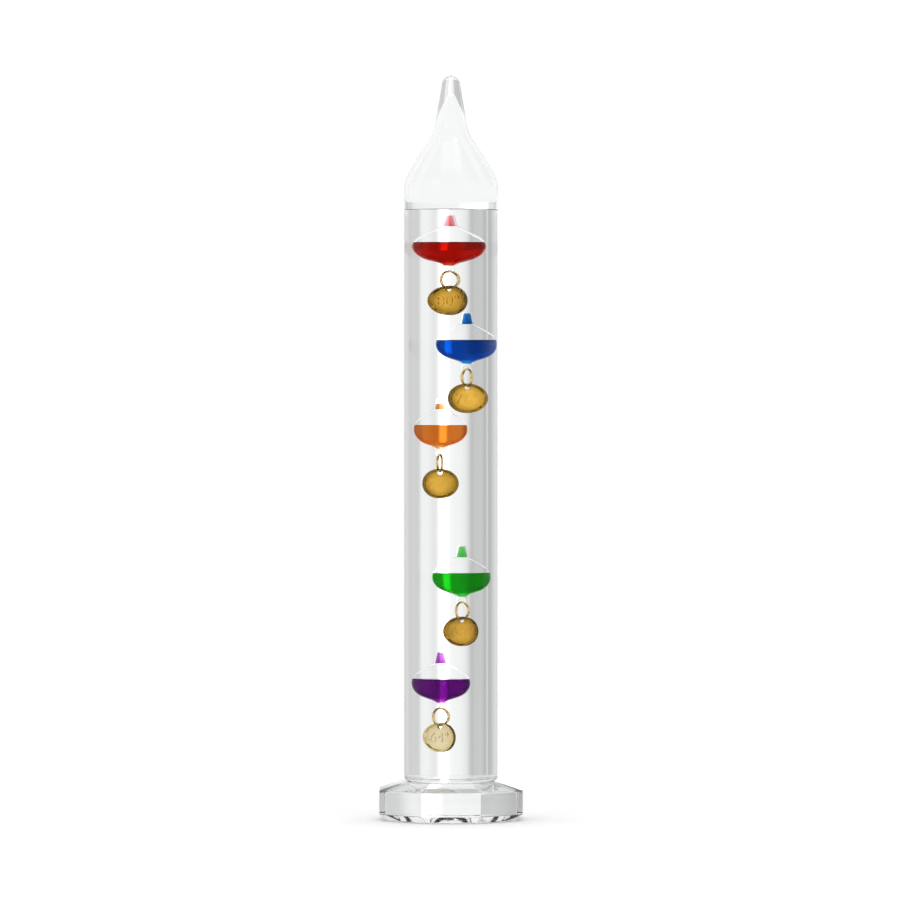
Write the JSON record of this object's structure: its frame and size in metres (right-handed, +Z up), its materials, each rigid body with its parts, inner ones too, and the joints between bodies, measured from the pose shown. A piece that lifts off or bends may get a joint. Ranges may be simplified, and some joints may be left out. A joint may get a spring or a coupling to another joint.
{
  "type": "galileo thermometer",
  "caption": "Sealed glass cylinder of clear liquid on an octagonal glass foot, with coloured glass floats that carry brass rings and tags.",
  "frame": {"origin": "centre of the foot's underside, on the axis of the cylinder", "axes": "+Z up along the cylinder, -Y is the front, +X is to the right seen from the front; two flats of the foot face front and back"},
  "size_m": [0.054, 0.054, 0.28],
  "materials": {
    "pressed_glass": "polished",
    "clear_adhesive": "gloss",
    "tube_glass": "polished",
    "clear_liquid": "gloss",
    "bulb_glass": "polished",
    "ring_brass": "satin",
    "tag_brass": "satin",
    "red_dye": "gloss",
    "blue_dye": "gloss",
    "amber_dye": "gloss",
    "green_dye": "gloss",
    "purple_dye": "gloss"
  },
  "bodies": {
    "vessel": {"foot": "pressed_glass", "foot_bond": "clear_adhesive", "glass_tube": "tube_glass", "clear_liquid": "clear_liquid"},
    "red_dye_body": {"red_dye": "red_dye"},
    "red_float": {"red_bulb": "bulb_glass", "red_tip_dye": "red_dye"},
    "red_link": {"red_ring": "ring_brass"},
    "red_weight": {"red_tag": "tag_brass"},
    "blue_dye_body": {"blue_dye": "blue_dye"},
    "blue_float": {"blue_bulb": "bulb_glass", "blue_tip_dye": "blue_dye"},
    "blue_link": {"blue_ring": "ring_brass"},
    "blue_weight": {"blue_tag": "tag_brass"},
    "amber_dye_body": {"amber_dye": "amber_dye"},
    "amber_float": {"amber_bulb": "bulb_glass", "amber_tip_dye": "amber_dye"},
    "amber_link": {"amber_ring": "ring_brass"},
    "amber_weight": {"amber_tag": "tag_brass"},
    "green_dye_body": {"green_dye": "green_dye"},
    "green_float": {"green_bulb": "bulb_glass", "green_tip_dye": "green_dye"},
    "green_link": {"green_ring": "ring_brass"},
    "green_weight": {"green_tag": "tag_brass"},
    "purple_dye_body": {"purple_dye": "purple_dye"},
    "purple_float": {"purple_bulb": "bulb_glass", "purple_tip_dye": "purple_dye"},
    "purple_link": {"purple_ring": "ring_brass"},
    "purple_weight": {"purple_tag": "tag_brass"}
  },
  "joints": [
    {"name": "red_rise", "type": "slide", "parent": "vessel", "child": "red_dye_body", "axis": [0, 0, 1], "range_m": [-0.0012, 0.0012], "deforming": ["clear_liquid"]},
    {"name": "red_spin", "type": "hinge", "parent": "red_dye_body", "child": "red_float", "pos_m": [-0.0004, 0.0054, 0.2156], "axis": [0, 0, 1], "continuous": true, "deforming": ["clear_liquid"]},
    {"name": "red_ring_swing", "type": "hinge", "parent": "red_float", "child": "red_link", "pos_m": [-0.0004, 0.0054, 0.20535], "axis": [0.766, -0.6428, 0], "range_deg": [-30, 30], "deforming": ["clear_liquid"]},
    {"name": "red_tag_swing", "type": "hinge", "parent": "red_link", "child": "red_weight", "pos_m": [-0.0004, 0.0054, 0.1998], "axis": [-0.6428, -0.766, 0], "range_deg": [-30, 20], "deforming": ["clear_liquid"]},
    {"name": "blue_rise", "type": "slide", "parent": "vessel", "child": "blue_dye_body", "axis": [0, 0, 1], "range_m": [-0.001, 0.0012], "deforming": ["clear_liquid"]},
    {"name": "blue_spin", "type": "hinge", "parent": "blue_dye_body", "child": "blue_float", "pos_m": [0.0042, 0.0009, 0.17885], "axis": [0, 0, 1], "continuous": true, "deforming": ["clear_liquid"]},
    {"name": "blue_ring_swing", "type": "hinge", "parent": "blue_float", "child": "blue_link", "pos_m": [0.0042, 0.0009, 0.1686], "axis": [0.8746, 0.4848, 0], "range_deg": [-30, 30], "deforming": ["clear_liquid"]},
    {"name": "blue_tag_swing", "type": "hinge", "parent": "blue_link", "child": "blue_weight", "pos_m": [0.0042, 0.0009, 0.16305], "axis": [0.4848, -0.8746, 0], "range_deg": [-20, 30], "deforming": ["clear_liquid"]},
    {"name": "amber_rise", "type": "slide", "parent": "vessel", "child": "amber_dye_body", "axis": [0, 0, 1], "range_m": [-0.016, 0.001], "deforming": ["clear_liquid"]},
    {"name": "amber_spin", "type": "hinge", "parent": "amber_dye_body", "child": "amber_float", "pos_m": [-0.0033, -0.0045, 0.1469], "axis": [0, 0, 1], "continuous": true, "deforming": ["clear_liquid"]},
    {"name": "amber_ring_swing", "type": "hinge", "parent": "amber_float", "child": "amber_link", "pos_m": [-0.0033, -0.0045, 0.13665], "axis": [0.9877, 0.1564, 0], "range_deg": [-30, 30], "deforming": ["clear_liquid"]},
    {"name": "amber_tag_swing", "type": "hinge", "parent": "amber_link", "child": "amber_weight", "pos_m": [-0.0033, -0.0045, 0.1311], "axis": [0.1564, -0.9877, 0], "range_deg": [-30, 30], "deforming": ["clear_liquid"]},
    {"name": "green_rise", "type": "slide", "parent": "vessel", "child": "green_dye_body", "axis": [0, 0, 1], "range_m": [-0.003, 0.016], "deforming": ["clear_liquid"]},
    {"name": "green_spin", "type": "hinge", "parent": "green_dye_body", "child": "green_float", "pos_m": [0.003, -0.0012, 0.0914], "axis": [0, 0, 1], "continuous": true, "deforming": ["clear_liquid"]},
    {"name": "green_ring_swing", "type": "hinge", "parent": "green_float", "child": "green_link", "pos_m": [0.003, -0.0012, 0.08115], "axis": [0.8746, -0.4848, 0], "range_deg": [-30, 30], "deforming": ["clear_liquid"]},
    {"name": "green_tag_swing", "type": "hinge", "parent": "green_link", "child": "green_weight", "pos_m": [0.003, -0.0012, 0.0756], "axis": [-0.4848, -0.8746, 0], "range_deg": [-30, 30], "deforming": ["clear_liquid"]},
    {"name": "purple_rise", "type": "slide", "parent": "vessel", "child": "purple_dye_body", "axis": [0, 0, 1], "range_m": [-0.0084, 0.003], "deforming": ["clear_liquid"]},
    {"name": "purple_spin", "type": "hinge", "parent": "purple_dye_body", "child": "purple_float", "pos_m": [-0.0029, -0.0012, 0.0516], "axis": [0, 0, 1], "continuous": true, "deforming": ["clear_liquid"]},
    {"name": "purple_ring_swing", "type": "hinge", "parent": "purple_float", "child": "purple_link", "pos_m": [-0.0029, -0.0012, 0.04135], "axis": [0.7071, -0.7071, 0], "range_deg": [-30, 30], "deforming": ["clear_liquid"]},
    {"name": "purple_tag_swing", "type": "hinge", "parent": "purple_link", "child": "purple_weight", "pos_m": [-0.0029, -0.0012, 0.0358], "axis": [-0.7071, -0.7071, 0], "range_deg": [-30, 30], "deforming": ["clear_liquid"]}
  ]
}
